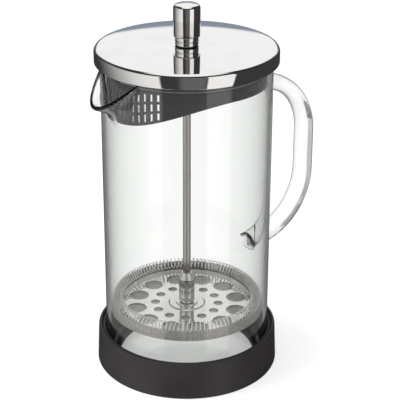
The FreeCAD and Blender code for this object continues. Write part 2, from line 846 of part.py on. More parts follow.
body = new_body("hub_sleeve")
turn(
    body,
    "sleeve",
    [
        (ROD_BORE, SLEEVE_UNDER),
        ("sleeve_radius", SLEEVE_UNDER),
        ("sleeve_radius", SLEEVE_SHOULDER),
        (f"({ROD_BORE} + knob_groove)", SLEEVE_TOP),
        (ROD_BORE, SLEEVE_TOP),
    ],
)

ring_piece("cap_washer", ROD_BORE, "cap_washer_radius", CAP_WASHER_UNDER, CROSS_UNDER)

body = new_body("cap_nut")
turn(
    body,
    "nut",
    [
        ("0", CAP_NUT_UNDER),
        ("cap_nut_radius", CAP_NUT_UNDER),
        ("cap_nut_radius", CAP_WASHER_UNDER),
        (ROD_BORE, CAP_WASHER_UNDER),
        (ROD_BORE, f"({ROD_BOTTOM} - fit_gap)"),
        ("0", f"({ROD_BOTTOM} - fit_gap)"),
    ],
)
rounded(body, "dome", "cap_nut_round", ("cap_nut_radius", CAP_NUT_UNDER))

# ---------------------------------------------------------------- check and write

doc.recompute()
for item in doc.Objects:
    if "Invalid" in item.State or "Error" in item.State:
        raise RuntimeError(f"{item.Label} failed: {item.State}")
os.makedirs("parts", exist_ok=True)
for piece in pieces:
    shape = piece.Shape
    if shape.isNull() or not shape.isValid() or not shape.Solids:
        raise RuntimeError(f"{piece.Label} has no valid solid")
    print(f"{piece.Label:18s} {len(shape.Solids)} solid, {shape.Volume:10.1f} mm3")
for piece in pieces:
    piece.Shape.exportStep(f"parts/{piece.Label}.step")
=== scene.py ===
import math

import bpy
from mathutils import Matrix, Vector


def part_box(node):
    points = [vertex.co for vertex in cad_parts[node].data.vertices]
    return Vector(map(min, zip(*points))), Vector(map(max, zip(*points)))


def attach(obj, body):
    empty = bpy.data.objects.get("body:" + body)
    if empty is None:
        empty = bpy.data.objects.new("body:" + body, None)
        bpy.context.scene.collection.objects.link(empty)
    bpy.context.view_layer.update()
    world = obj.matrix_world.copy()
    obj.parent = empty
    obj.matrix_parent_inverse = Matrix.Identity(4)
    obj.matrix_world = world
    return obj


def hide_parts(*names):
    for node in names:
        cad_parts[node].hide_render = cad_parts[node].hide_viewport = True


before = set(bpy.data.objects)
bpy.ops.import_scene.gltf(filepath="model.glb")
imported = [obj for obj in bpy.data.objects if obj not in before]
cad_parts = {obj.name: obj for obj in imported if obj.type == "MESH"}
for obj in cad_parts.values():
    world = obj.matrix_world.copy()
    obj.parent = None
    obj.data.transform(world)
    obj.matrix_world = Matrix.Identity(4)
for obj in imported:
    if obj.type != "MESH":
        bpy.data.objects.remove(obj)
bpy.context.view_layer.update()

# ---------------------------------------------------------------- base ring
# A deep moulded ring of matt, brown-black plastic that the glass stands in. It is one moulding with a
# soft outer rim, a slightly wider foot and an inward ledge around an open window.

MM = 0.001


def reach(node):
    """A CAD node's outer radius, lowest height and highest height in millimetres, for round nodes."""
    low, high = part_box(node)
    return high.x / MM, low.z / MM, high.z / MM


def put_down():
    """Leaves edit mode with nothing selected, so that the next operator acts on its own piece."""
    if bpy.context.object and bpy.context.object.mode != "OBJECT":
        bpy.ops.object.mode_set(mode="OBJECT")
    bpy.ops.object.select_all(action="DESELECT")


def arc(centre_radius, centre_height, radius, start, end, steps=6):
    """Points of an outline's rounded corner, from one angle to the other in degrees."""
    points = []
    for step in range(steps + 1):
        angle = math.radians(start + (end - start) * step / steps)
        points.append((centre_radius + radius * math.cos(angle), centre_height + radius * math.sin(angle)))
    return points


def smooth(piece, angle=35):
    put_down()
    piece.select_set(True)
    bpy.context.view_layer.objects.active = piece
    bpy.ops.object.shade_smooth_by_angle(angle=math.radians(angle))


def applied(piece, kind, **settings):
    """Adds one modifier with its settings and applies it."""
    put_down()
    piece.select_set(True)
    bpy.context.view_layer.objects.active = piece
    modifier = piece.modifiers.new(kind.lower(), kind)
    for setting, wanted in settings.items():
        setattr(modifier, setting, wanted)
    bpy.ops.object.modifier_apply(modifier=modifier.name)


def turned(name, outline, steps=160):
    """A piece turned about the upright axis, from an outline of (radius, height) points in millimetres."""
    put_down()
    radius, height = outline[0]
    bpy.ops.mesh.primitive_plane_add(size=MM, location=(radius * MM, 0, height * MM))
    piece = bpy.context.object
    piece.name = name
    bpy.ops.object.transform_apply(location=True, rotation=True, scale=True)
    bpy.ops.object.mode_set(mode="EDIT")
    bpy.ops.mesh.select_all(action="SELECT")
    bpy.ops.mesh.merge(type="CENTER")
    for new_radius, new_height in outline[1:]:
        step = ((new_radius - radius) * MM, 0, (new_height - height) * MM)
        bpy.ops.mesh.extrude_vertices_move(TRANSFORM_OT_translate={"value": step})
        radius, height = new_radius, new_height
    bpy.ops.mesh.select_all(action="SELECT")
    bpy.ops.mesh.spin(steps=steps, angle=math.tau, center=(0, 0, 0), axis=(0, 0, 1))
    bpy.ops.mesh.select_all(action="SELECT")
    bpy.ops.mesh.remove_doubles(threshold=1e-6)
    bpy.ops.mesh.normals_make_consistent(inside=False)
    bpy.ops.object.mode_set(mode="OBJECT")
    smooth(piece)
    return piece


def node_at(tree, kind, values=None, **settings):
    """A new shader node with its attributes set, and then the values of its unlinked inputs."""
    node = tree.nodes.new(kind)
    for key, wanted in settings.items():
        setattr(node, key, wanted)
    for socket, wanted in (values or {}).items():
        node.inputs[socket].default_value = wanted
    return node


def new_group(name, inputs, outputs):
    """A shader node group with named sockets; inputs are (kind, name, value)."""
    group = bpy.data.node_groups.new(name, "ShaderNodeTree")
    for kind, label, start in inputs:
        socket = group.interface.new_socket(label, in_out="INPUT", socket_type=kind)
        if start is not None:
            socket.default_value = start
    for kind, label in outputs:
        group.interface.new_socket(label, in_out="OUTPUT", socket_type=kind)
    return group, group.nodes.new("NodeGroupInput"), group.nodes.new("NodeGroupOutput")


def new_finish(name, colour, roughness, metallic=0.0):
    """A material with its Principled shader and a node that reads Object coordinates."""
    material = bpy.data.materials.new(name)
    material.use_nodes = True
    shader = material.node_tree.nodes["Principled BSDF"]
    shader.inputs["Base Color"].default_value = (*colour, 1)
    shader.inputs["Roughness"].default_value = roughness
    shader.inputs["Metallic"].default_value = metallic
    place = material.node_tree.nodes.new("ShaderNodeTexCoord")
    return material, material.node_tree, shader, place.outputs["Object"]


def placed(tree, group, coordinates, **values):
    """Puts a shared group into a material with its own values."""
    node = tree.nodes.new("ShaderNodeGroup")
    node.node_tree = group
    for label, wanted in values.items():
        node.inputs[label.replace("_", " ")].default_value = wanted
    tree.links.new(coordinates, node.inputs["Place"])
    return node


def wear(piece, material, body, slot, *nodes):
    """Gives a piece its finish, its CAD body and the CAD nodes it stands for; its slot argument is not used.
    """
    piece.data.materials.clear()
    piece.data.materials.append(material)
    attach(piece, body)
    if nodes:
        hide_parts(*nodes)


def finished(node, material):
    """Gives a CAD node that is shown as it is its finish."""
    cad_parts[node].data.materials.clear()
    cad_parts[node].data.materials.append(material)


# Moulded grain: the fine, slightly cloudy skin that a textured mould leaves on plastic and rubber.
moulded_grain, given, out = new_group(
    "moulded_grain",
    [
        ("NodeSocketVector", "Place", None),
        ("NodeSocketFloat", "Grains per metre", 2600.0),
        ("NodeSocketFloat", "Depth", 0.3),
        ("NodeSocketFloat", "Roughness", 0.5),
        ("NodeSocketFloat", "Cloudiness", 0.1),
        ("NodeSocketColor", "Colour", (0.05, 0.05, 0.05, 1)),
        ("NodeSocketColor", "Rubbed colour", (0.09, 0.09, 0.09, 1)),
    ],
    [("NodeSocketColor", "Colour"), ("NodeSocketFloat", "Roughness"), ("NodeSocketVector", "Normal")],
)
grain = node_at(moulded_grain, "ShaderNodeTexNoise", {"Detail": 3})
cloud = node_at(moulded_grain, "ShaderNodeTexNoise", {"Scale": 38, "Detail": 4})
bump = node_at(moulded_grain, "ShaderNodeBump", {"Distance": 0.0002})
spread = node_at(moulded_grain, "ShaderNodeMath", operation="MULTIPLY_ADD")
centred = node_at(moulded_grain, "ShaderNodeMath", {1: 0.5}, operation="SUBTRACT")
tint = node_at(moulded_grain, "ShaderNodeMix", data_type="RGBA")
ramp = node_at(moulded_grain, "ShaderNodeMapRange", {"From Min": 0.42, "From Max": 0.75})
link = moulded_grain.links.new
link(given.outputs["Place"], grain.inputs["Vector"])
link(given.outputs["Grains per metre"], grain.inputs["Scale"])
link(given.outputs["Place"], cloud.inputs["Vector"])
link(grain.outputs["Fac"], bump.inputs["Height"])
link(given.outputs["Depth"], bump.inputs["Strength"])
link(cloud.outputs["Fac"], centred.inputs[0])
link(centred.outputs[0], spread.inputs[0])
link(given.outputs["Cloudiness"], spread.inputs[1])
link(given.outputs["Roughness"], spread.inputs[2])
link(cloud.outputs["Fac"], ramp.inputs["Value"])
link(ramp.outputs["Result"], tint.inputs["Factor"])
link(given.outputs["Colour"], tint.inputs["A"])
link(given.outputs["Rubbed colour"], tint.inputs["B"])
link(tint.outputs["Result"], out.inputs["Colour"])
link(spread.outputs[0], out.inputs["Roughness"])
link(bump.outputs["Normal"], out.inputs["Normal"])


def grained(name, colour, rubbed, roughness, grains, depth, cloudiness=0.12):
    """A plastic or rubber finish made from the moulded grain."""
    material, tree, shader, place = new_finish(name, colour, roughness)
    skin = placed(
        tree,
        moulded_grain,
        place,
        Grains_per_metre=grains,
        Depth=depth,
        Roughness=roughness,
        Cloudiness=cloudiness,
        Colour=(*colour, 1),
        Rubbed_colour=(*rubbed, 1),
    )
    tree.links.new(skin.outputs["Colour"], shader.inputs["Base Color"])
    tree.links.new(skin.outputs["Roughness"], shader.inputs["Roughness"])
    tree.links.new(skin.outputs["Normal"], shader.inputs["Normal"])
    return material, tree, shader


base_plastic, *_ = grained(
    "base_plastic", (0.019, 0.0155, 0.0168), (0.026, 0.0215, 0.0235), 0.5, 2600, 0.35
)

foot_radius, base_under, base_top = reach("base_shell")
liner_radius, liner_under, liner_top = reach("base_seat_ring")
foot_flare = 0.95  # how much wider the foot is than the rim
rim_radius = foot_radius - foot_flare
window = 42.0
ledge = liner_under - base_under
base_ring = turned(
    "base_ring",
    [(window, base_under + 0.4), (window + 0.4, base_under)]
    + arc(foot_radius - 0.9, base_under + 0.9, 0.9, -90, 0, 5)
    + [(rim_radius + 0.06, base_top - 1.6)]
    + arc(rim_radius - 1.2, base_top - 1.2, 1.2, 0, 90, 8)
    + arc(liner_radius + 0.55, base_top - 0.45, 0.45, 90, 180, 4)
    + [(liner_radius + 0.1, base_under + ledge), (window, base_under + ledge), (window, base_under + 0.4)],
)
wear(base_ring, base_plastic, "base", "base_body", "base_shell")

# ---------------------------------------------------------------- seat ring
# A soft black liner pressed into the base ring. Its lip grips the glass and its floor cushions the heel,
# and it stops a little below the rim, which leaves a fine step all round.

rubber, *_ = grained("seat_rubber", (0.018, 0.017, 0.018), (0.028, 0.027, 0.028), 0.62, 1900, 0.3)
liner_bore = liner_radius - 2.15
liner_floor = 1.5
seat_ring = turned(
    "seat_ring",
    [(window + 0.1, liner_under), (liner_radius - 0.1, liner_under)]
    + arc(liner_radius - 0.8, liner_top - 0.7, 0.7, 0, 90, 4)
    + arc(liner_bore + 0.6, liner_top - 0.6, 0.6, 90, 180, 4)
    + [(liner_bore, liner_under + liner_floor), (window + 0.1, liner_under + liner_floor)]
    + [(window + 0.1, liner_under)],
)
wear(seat_ring, rubber, "base", "dark_rubber", "base_seat_ring")

# ---------------------------------------------------------------- glass beaker with its handle
# Blown borosilicate glass: a straight thin wall, a rounded heel, and a pouring spout drawn out of the rim
# while hot. The handle is a solid oval rod, bent to a loop and fused to the wall at both ends.

low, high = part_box("glass_beaker")
glass_radius = high.x / MM
heel_height = low.z / MM
rim_height = high.z / MM
wall = 2.3
heel = 6.0
spout_start = rim_height - 46.0  # the wall is plain below this
rows = 26
outline = [(0, heel_height + 0.35), (12, heel_height + 0.3)]
outline += [(26, heel_height + 0.12), (36, heel_height + 0.02)]
outline += arc(glass_radius - heel, heel_height + heel, heel, -90, 0, 10)
outline += [(glass_radius, heel_height + 25), (glass_radius, heel_height + 80), (glass_radius, spout_start)]
for row in range(1, rows + 1):
    outline.append((glass_radius, spout_start + (rim_height - spout_start) * row / rows))
beaker = turned("glass_jug", outline, steps=240)

# The spout: a rounded trough that leaves the wall 26 mm below the rim and rises outwards; the lip is cut
# on a slope, so that it falls from the rim to the tip. Each column of the wall is bent along its own path:
# straight up, round a soft bend, and out along the trough to the lip.
trough_drop, trough_rise, trough_side = 26.0, 0.457, 0.058
lip_drop, lip_inset, lip_slope = 5.2, 2.0, 0.9
bend = 9.0
spout_half = 27.0  # the spout leaves the wall within this far of its middle
for vertex in beaker.data.vertices:
    across, aside, up = (axis / MM for axis in vertex.co)
    if up <= spout_start + 0.01 or across > 0:
        continue
    if abs(aside) > spout_half:
        continue
    side = trough_side * aside * aside
    on_wall = math.sqrt(glass_radius**2 - aside * aside)
    trough_low = rim_height - trough_drop + side  # where the trough would meet a wall at the full radius
    lip_base = rim_height - lip_drop - lip_slope * (on_wall - (glass_radius - lip_inset))
    leaves = trough_low + trough_rise * (on_wall - glass_radius)
    # How far out this column's lip is, and how high.
    out_by = max(0.0, (lip_base - leaves) / (trough_rise + lip_slope))
    top = min(rim_height, lip_base - lip_slope * out_by) if out_by > 0 else min(rim_height, lip_base)
    corner = min(leaves, top)
    path = [(0.0, spout_start), (0.0, corner), (out_by, top)]
    rise = path[1][1] - path[0][1]
    run = math.hypot(out_by, top - corner)
    share = (up - spout_start) / (rim_height - spout_start) * (rise + run)
    soft = min(bend, run * 0.95)
    if share <= rise - soft:
        new_out, new_up = 0.0, spout_start + share
    elif run > 0 and share < rise + soft:
        t = (share - (rise - soft)) / (2 * soft)
        ahead = (out_by * soft / run, corner + (top - corner) * soft / run)
        behind = (0.0, corner - soft)
        new_out = (1 - t) ** 2 * behind[0] + 2 * t * (1 - t) * 0.0 + t * t * ahead[0]
        new_up = (1 - t) ** 2 * behind[1] + 2 * t * (1 - t) * corner + t * t * ahead[1]
    else:
        t = (share - rise) / run if run > 0 else 0.0
        new_out = out_by * t
        new_up = corner + (top - corner) * t if run > 0 else spout_start + share
    vertex.co.x = -(on_wall + new_out) * MM
    vertex.co.z = new_up * MM
applied(beaker, "SOLIDIFY", thickness=wall * MM, offset=-1, use_even_offset=True)
applied(
    beaker,
    "BEVEL",
    width=0.95 * MM,
    segments=4,
    limit_method="ANGLE",
    angle_limit=math.radians(55),
    use_clamp_overlap=True,
)
smooth(beaker, 60)

# The handle's oval end is pushed out level, spun round the upper bend, run straight down, spun round the
# lower bend and run in to the wall, where the soft glass has spread into a small collar.
handle_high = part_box("glass_handle")[1]
half_width = handle_high.y / MM
half_thick = 5.0
line_x = handle_high.x / MM - half_thick
line_top = handle_high.z / MM - half_thick
top_bend, foot_bend, foot_slope = 38.0, 40.0, math.radians(14.0)
straight = 25.4
into_wall = glass_radius - 1.1
put_down()
bpy.ops.mesh.primitive_circle_add(
    vertices=48,
    radius=1,
    fill_type="NGON",
    location=(into_wall * MM, 0, line_top * MM),
    rotation=(0, math.pi / 2, 0),
)
handle = bpy.context.object
handle.name = "handle_rod"
handle.scale = (half_thick * MM, half_width * MM, 1)
bpy.ops.object.transform_apply(location=True, rotation=True, scale=True)
bpy.ops.object.mode_set(mode="EDIT")
bpy.ops.mesh.select_all(action="SELECT")


def push(across, up, swell=1.0):
    """Extrudes the rod's open end by a step in millimetres and swells or thins it."""
    bpy.ops.mesh.extrude_region_move(TRANSFORM_OT_translate={"value": (across * MM, 0, up * MM)})
    if swell != 1.0:
        bpy.ops.transform.resize(value=(swell, swell, swell))


bpy.ops.transform.resize(value=(1.2, 1.2, 1.2))
push(1.1, 0)
for step, swell in ((0.5, 0.94), (0.6, 0.95), (line_x - top_bend - glass_radius - 1.1, 0.935)):
    push(step, 0, swell)
bend_centre = ((line_x - top_bend) * MM, 0, (line_top - top_bend) * MM)
bpy.ops.mesh.spin(steps=30, angle=math.pi / 2, center=bend_centre, axis=(0, -1, 0))
push(0, -straight)
bend_centre = ((line_x - foot_bend) * MM, 0, (line_top - top_bend - straight) * MM)
bpy.ops.mesh.spin(steps=22, angle=math.pi / 2 - foot_slope, center=bend_centre, axis=(0, -1, 0))
end_x = line_x - foot_bend + foot_bend * math.sin(foot_slope)
to_wall = (end_x - into_wall) / math.cos(foot_slope)
for share, swell in ((0.80, 1.0), (0.06, 1.06), (0.05, 1.06), (0.09, 1.07)):
    push(-to_wall * share * math.cos(foot_slope), -to_wall * share * math.sin(foot_slope), swell)
foot_height = line_top - top_bend - straight - foot_bend * math.cos(foot_slope)
foot_height -= to_wall * math.sin(foot_slope)
bpy.ops.transform.resize(value=(0, 1, 1), center_override=(into_wall * MM, 0, foot_height * MM))
bpy.ops.mesh.select_all(action="SELECT")
bpy.ops.mesh.normals_make_consistent(inside=False)
bpy.ops.object.mode_set(mode="OBJECT")
applied(beaker, "BOOLEAN", operation="UNION", object=handle, solver="EXACT")
bpy.data.objects.remove(handle)
smooth(beaker, 50)

glass, tree, shader, place = new_finish("clear_glass", (1, 1, 1), 0.0)
shader.inputs["Transmission Weight"].default_value = 1.0
shader.inputs["IOR"].default_value = 1.47
shader.inputs["Specular IOR Level"].default_value = 0.5
# The drawn tube is very slightly wavy along its length.
stretched = node_at(tree, "ShaderNodeMapping", {"Scale": (1, 1, 0.25)})
waves = node_at(tree, "ShaderNodeTexNoise", {"Scale": 60, "Detail": 1})
ripple = node_at(tree, "ShaderNodeBump", {"Strength": 0.04, "Distance": 0.0004})
tree.links.new(place, stretched.inputs["Vector"])
tree.links.new(stretched.outputs["Vector"], waves.inputs["Vector"])
tree.links.new(waves.outputs["Fac"], ripple.inputs["Height"])
tree.links.new(ripple.outputs["Normal"], shader.inputs["Normal"])
# Grey-green where the eye looks along the glass: partly the glass's own tint, partly painted shade that
# darkens its edges; clear to lamps.
edge = node_at(tree, "ShaderNodeLayerWeight", {"Blend": 0.18})
# partly real tint, partly painted shade: the dark grey-green at the glass's grazing edges
tint_and_edge_shade = node_at(
    tree, "ShaderNodeMix", {"A": (0.962, 0.968, 0.963, 1), "B": (0.36, 0.41, 0.35, 1)}, data_type="RGBA"
)
tree.links.new(edge.outputs["Facing"], tint_and_edge_shade.inputs["Factor"])
# Painted shade: the solid rod of the handle is darkened into a dark line along its edges, where the eye
# grazes it.
across = node_at(tree, "ShaderNodeSeparateXYZ")
outside = node_at(tree, "ShaderNodeMath", {1: (glass_radius + 1.5) * MM}, operation="GREATER_THAN")
grazing = node_at(tree, "ShaderNodeLayerWeight", {"Blend": 0.5})
along = node_at(
    tree, "ShaderNodeMapRange", {"From Min": 0.50, "From Max": 0.82}, interpolation_type="SMOOTHSTEP"
)
on_handle = node_at(tree, "ShaderNodeMath", operation="MULTIPLY")
# painted shade: the dark grey of the lines along the handle's edges
painted_edge_shade = node_at(tree, "ShaderNodeMix", {"B": (0.16, 0.165, 0.17, 1)}, data_type="RGBA")
tree.links.new(place, across.inputs["Vector"])
tree.links.new(across.outputs["X"], outside.inputs[0])
tree.links.new(grazing.outputs["Facing"], along.inputs["Value"])
tree.links.new(along.outputs["Result"], on_handle.inputs[0])
tree.links.new(outside.outputs[0], on_handle.inputs[1])
tree.links.new(on_handle.outputs[0], painted_edge_shade.inputs["Factor"])
tree.links.new(tint_and_edge_shade.outputs["Result"], painted_edge_shade.inputs["A"])
tree.links.new(painted_edge_shade.outputs["Result"], shader.inputs["Base Color"])
lamp_light = node_at(tree, "ShaderNodeLightPath")
clear = node_at(tree, "ShaderNodeBsdfTransparent", {"Color": (0.95, 0.96, 0.955, 1)})
choose = node_at(tree, "ShaderNodeMixShader")
tree.links.new(lamp_light.outputs["Is Shadow Ray"], choose.inputs["Fac"])
tree.links.new(shader.outputs["BSDF"], choose.inputs[1])
tree.links.new(clear.outputs["BSDF"], choose.inputs[2])
tree.links.new(choose.outputs["Shader"], tree.nodes["Material Output"].inputs["Surface"])
wear(beaker, glass, "beaker", "clear_glass", "glass_beaker", "glass_handle")

# ---------------------------------------------------------------- lid cover
# One pressed sheet of mirror-polished stainless steel: a nearly flat top that falls a hair towards its
# rolled edge, and a short straight skirt that hides the glass rim. The rod guide sits in its middle.

# Polishing marks: very fine scuffs and the faint haze that hands leave on polished steel.
polish_marks, given, out = new_group(
    "polish_marks",
    [
        ("NodeSocketVector", "Place", None),
        ("NodeSocketFloat", "Scuffs per metre", 900.0),
        ("NodeSocketFloat", "Depth", 0.05),
        ("NodeSocketFloat", "Roughness", 0.05),
        ("NodeSocketFloat", "Haze", 0.06),
        ("NodeSocketColor", "Metal", (0.8, 0.8, 0.8, 1)),
        ("NodeSocketColor", "Warmer metal", (0.7, 0.7, 0.7, 1)),
    ],
    [("NodeSocketColor", "Colour"), ("NodeSocketFloat", "Roughness"), ("NodeSocketVector", "Normal")],
)
scuffs = node_at(polish_marks, "ShaderNodeTexNoise", {"Detail": 2})
haze = node_at(polish_marks, "ShaderNodeTexNoise", {"Scale": 45, "Detail": 3})
bump = node_at(polish_marks, "ShaderNodeBump", {"Distance": 0.0001})
shape = node_at(polish_marks, "ShaderNodeMapRange", {"From Min": 0.45, "From Max": 0.8})
add = node_at(polish_marks, "ShaderNodeMath", operation="MULTIPLY_ADD")
tint = node_at(polish_marks, "ShaderNodeMix", data_type="RGBA")
link = polish_marks.links.new
link(given.outputs["Place"], scuffs.inputs["Vector"])
link(given.outputs["Scuffs per metre"], scuffs.inputs["Scale"])
link(given.outputs["Place"], haze.inputs["Vector"])
link(haze.outputs["Fac"], shape.inputs["Value"])
link(shape.outputs["Result"], add.inputs[0])
link(given.outputs["Haze"], add.inputs[1])
link(given.outputs["Roughness"], add.inputs[2])
link(shape.outputs["Result"], tint.inputs["Factor"])
link(given.outputs["Metal"], tint.inputs["A"])
link(given.outputs["Warmer metal"], tint.inputs["B"])
link(scuffs.outputs["Fac"], bump.inputs["Height"])
link(given.outputs["Depth"], bump.inputs["Strength"])
link(tint.outputs["Result"], out.inputs["Colour"])
link(add.outputs[0], out.inputs["Roughness"])
link(bump.outputs["Normal"], out.inputs["Normal"])


def polished(name, metal, warmer, roughness, haze_amount, scuff_count, depth, stretch=(1, 1, 1)):
    """A metal finish made from the polishing marks, drawn out along an axis by a small stretch."""
    material, tree, shader, place = new_finish(name, metal, roughness, 1.0)
    mapping = node_at(tree, "ShaderNodeMapping", {"Scale": stretch})
    tree.links.new(place, mapping.inputs["Vector"])
    marks = placed(
        tree,
        polish_marks,
        mapping.outputs["Vector"],
        Scuffs_per_metre=scuff_count,
        Depth=depth,
        Roughness=roughness,
        Haze=haze_amount,
        Metal=(*metal, 1),
        Warmer_metal=(*warmer, 1),
    )
    tree.links.new(marks.outputs["Colour"], shader.inputs["Base Color"])
    tree.links.new(marks.outputs["Roughness"], shader.inputs["Roughness"])
    tree.links.new(marks.outputs["Normal"], shader.inputs["Normal"])
    return material


mirror_steel = polished("mirror_steel", (0.86, 0.855, 0.85), (0.80, 0.79, 0.78), 0.025, 0.03, 1400, 0.02)

lid_radius, lid_under, lid_top = reach("lid_cover")
sheet = 1.0
hole = 4.06
edge_roll = 2.4
crown_fall = 0.36  # how far the top falls by the edge


def crown(radius):
    return lid_top - crown_fall * (radius / (lid_radius - edge_roll)) ** 4


top_radii = [10, 20, 28, 34, 38, 41, 43.5, 45.5, 47, 48.2, 49.3]
outline = [(hole, lid_top - sheet), (hole, lid_top)]
outline += [(radius, crown(radius)) for radius in top_radii]
outline += arc(lid_radius - edge_roll, lid_top - crown_fall - edge_roll, edge_roll, 90, 0, 14)
outline += arc(lid_radius - 0.28, lid_under + 0.28, 0.28, 0, -90, 3)
outline += arc(lid_radius - sheet + 0.28, lid_under + 0.28, 0.28, -90, -180, 3)
outline += arc(lid_radius - edge_roll, lid_top - crown_fall - edge_roll, edge_roll - sheet, 0, 90, 6)
outline += [(radius, crown(radius) - sheet) for radius in reversed(top_radii)]
outline.append(outline[0])
lid = turned("lid_plate", outline, steps=256)
wear(lid, mirror_steel, "lid", "polished_steel", "lid_cover")

# ---------------------------------------------------------------- strainer insert
# A smoky, glossy plastic moulding under the lid. A flange sits on the glass rim, a collar and a groove come
# below it, and the skirt reaches down on the spout side, where three rows of slots hold the grounds back.

smoke_plastic, tree, shader = grained(
    "smoke_plastic", (0.030, 0.028, 0.032), (0.036, 0.034, 0.038), 0.13, 900, 0.03, 0.05
)
shader.inputs["IOR"].default_value = 1.52
# Painted light: inside its outer surface, on the slot walls and the inner faces, the smoky plastic is painted
# a paler grey, standing in for the light these faces catch.
place = node_at(tree, "ShaderNodeTexCoord")
split = node_at(tree, "ShaderNodeSeparateXYZ")
flat = node_at(tree, "ShaderNodeCombineXYZ")
from_axis = node_at(tree, "ShaderNodeVectorMath", operation="LENGTH")
inwards = node_at(tree, "ShaderNodeMapRange")
painted_light_start, painted_light_full = 46.62, 46.2
inwards.inputs["From Min"].default_value = painted_light_start * MM
inwards.inputs["From Max"].default_value = painted_light_full * MM
# painted light: the paler grey on the inner faces and slot walls
painted_light_inside = node_at(tree, "ShaderNodeMix", {"B": (0.27, 0.265, 0.28, 1)}, data_type="RGBA")
tree.links.new(place.outputs["Object"], split.inputs["Vector"])
tree.links.new(split.outputs["X"], flat.inputs["X"])
tree.links.new(split.outputs["Y"], flat.inputs["Y"])
tree.links.new(flat.outputs["Vector"], from_axis.inputs[0])
tree.links.new(from_axis.outputs["Value"], inwards.inputs["Value"])
tree.links.new(inwards.outputs["Result"], painted_light_inside.inputs["Factor"])
tree.links.new(shader.inputs["Base Color"].links[0].from_socket, painted_light_inside.inputs["A"])
tree.links.new(painted_light_inside.outputs["Result"], shader.inputs["Base Color"])

flange_radius, strainer_under, disc_top = reach("lid_strainer")
rim = rim_height
collar_radius = glass_radius - wall - 0.5
skirt_radius = collar_radius - 0.4
skirt_wall = 1.8
collar_end = rim - 5.7
groove_end = collar_end - 1.2
skirt_inside = skirt_radius - skirt_wall
cap_outline = [
    (hole, disc_top - 2.0),
    (skirt_inside, disc_top - 2.0),
    (skirt_inside, groove_end - 0.6),
    (skirt_radius - 0.05, groove_end - 0.6),
    (skirt_radius, groove_end - 0.1),
    (skirt_radius - 0.9, groove_end + 0.15),
    (skirt_radius - 0.9, collar_end - 0.15),
    (collar_radius - 0.15, collar_end),
    (collar_radius, collar_end + 0.2),
    (collar_radius, rim + 0.1),
    (flange_radius - 0.25, rim + 0.1),
    (flange_radius, rim + 0.35),
    (flange_radius, rim + 2.1),
    (flange_radius - 0.3, rim + 2.4),
    (flange_radius - 2.4, crown(flange_radius - 2.4) - sheet - 0.04),
    (40, crown(40) - sheet - 0.04),
    (28, crown(28) - sheet - 0.04),
    (hole, disc_top - 0.02),
    (hole, disc_top - 2.0),
]
strainer_cap = turned("strainer_cap", cap_outline, steps=240)
wear(strainer_cap, smoke_plastic, "lid", "smoke_plastic", "lid_strainer")

# The skirt starts as an open tube of half-degree strips, its heights pulled down to the falling edge; then
# the slots are deleted, and the sheet is given its wall and soft edges.
rows_of_slots, slot_height, rail, foot_margin, slot_count = 3, 4.6, 1.4, 1.6, 15
skirt_top = groove_end - 0.3
edge_level = rim - 14.2
edge_drop = edge_level - strainer_under
edge_arc = (skirt_radius**2 + edge_drop**2) / (2 * edge_drop)
levels = [0.0, foot_margin]
for row in range(rows_of_slots):
    levels += [levels[-1] + slot_height, levels[-1] + slot_height + rail]
levels[-1] = levels[-2] + 1.0
row_mark, top_mark = 1000, 2000  # stand-in heights, until each strip is pulled to its own
outline = [(skirt_radius, row_mark + level) for level in levels] + [(skirt_radius, top_mark)]
skirt = turned("strainer_skirt", outline, steps=720)
for vertex in skirt.data.vertices:
    towards_spout = max(0.0, -vertex.co.x / MM)
    low_edge = edge_level - (edge_arc - math.sqrt(edge_arc**2 - towards_spout**2))
    level = vertex.co.z / MM - row_mark
    if level > row_mark / 2:
        height = skirt_top
    else:
        height = low_edge + level * min(1.0, (skirt_top - 0.5 - low_edge) / levels[-1])
    vertex.co.z = height * MM
put_down()
skirt.select_set(True)
bpy.context.view_layer.objects.active = skirt
bpy.ops.object.mode_set(mode="EDIT")
bpy.ops.mesh.select_all(action="DESELECT")
bpy.ops.mesh.select_mode(type="FACE")
bpy.ops.object.mode_set(mode="OBJECT")
half_fan = slot_count * 5 / 2
for face in skirt.data.polygons:
    centre = face.center
    bearing = math.degrees(math.atan2(centre.y, -centre.x))
    if abs(bearing) > half_fan:
        face.select = False
        continue
    towards_spout = -centre.x / MM
    low_edge = edge_level - (edge_arc - math.sqrt(edge_arc**2 - towards_spout**2))
    level = (centre.z / MM - low_edge) / min(1.0, (skirt_top - 0.5 - low_edge) / levels[-1])
    in_row = any(
        levels[1 + 2 * row] < level < levels[2 + 2 * row] for row in range(rows_of_slots)
    ) and centre.z / MM < skirt_top - 0.8
    in_slot = 1.5 < (bearing + half_fan) % 5 < 3.5
    face.select = in_row and in_slot
bpy.ops.object.mode_set(mode="EDIT")
bpy.ops.mesh.delete(type="FACE")
bpy.ops.mesh.select_mode(type="VERT")
bpy.ops.object.mode_set(mode="OBJECT")
applied(skirt, "SOLIDIFY", thickness=skirt_wall * MM, offset=-1, use_even_offset=True)
applied(skirt, "BEVEL", width=0.22 * MM, segments=2, limit_method="ANGLE", angle_limit=math.radians(50))
smooth(skirt, 40)
wear(skirt, smoke_plastic, "lid", "smoke_plastic", "lid_strainer")

# ---------------------------------------------------------------- rod guide
# A black plastic bush through the middle of the lid. Its flange rests on the cover, and a washer and a
# hexagon nut clamp it from below; the rod slides in its bore.

